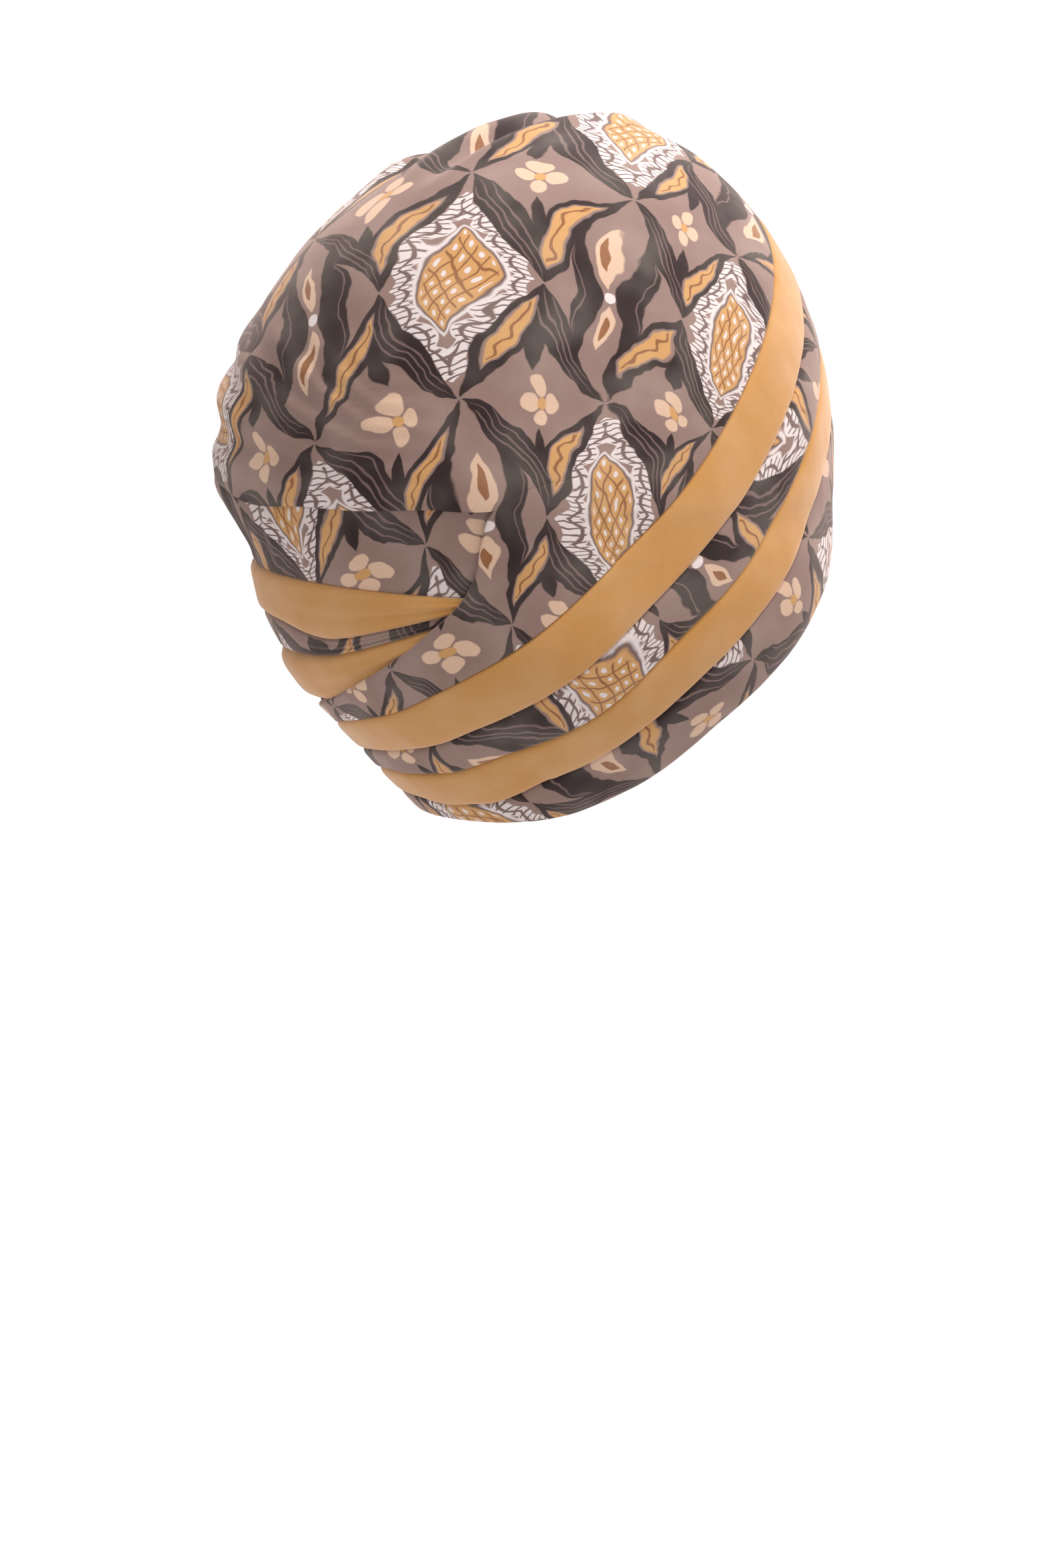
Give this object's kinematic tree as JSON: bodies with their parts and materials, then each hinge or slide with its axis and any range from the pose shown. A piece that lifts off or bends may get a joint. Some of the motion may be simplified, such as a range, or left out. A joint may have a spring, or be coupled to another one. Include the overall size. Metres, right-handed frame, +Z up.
{
  "type": "turban cap with twist headband",
  "caption": "Close-fitting jersey turban cap with a printed crown and a striped headband that wraps round the head and crosses over itself at the back.",
  "frame": {"origin": "middle of the head at its widest level, where the head holds the cap", "axes": "+Z up to the top of the crown, -Y towards the wearer's face, +X towards the wearer's left"},
  "size_m": [0.1688, 0.2039, 0.2217],
  "materials": {
    "crown_print": "matte printed jersey",
    "band_print": "matte printed jersey",
    "mustard_jersey": "matte plain jersey"
  },
  "bodies": {
    "root": {"crown": "crown_print", "stripe_upper": "mustard_jersey", "band_middle": "band_print", "stripe_lower": "mustard_jersey", "band_hem": "band_print"}
  },
  "joints": []
}
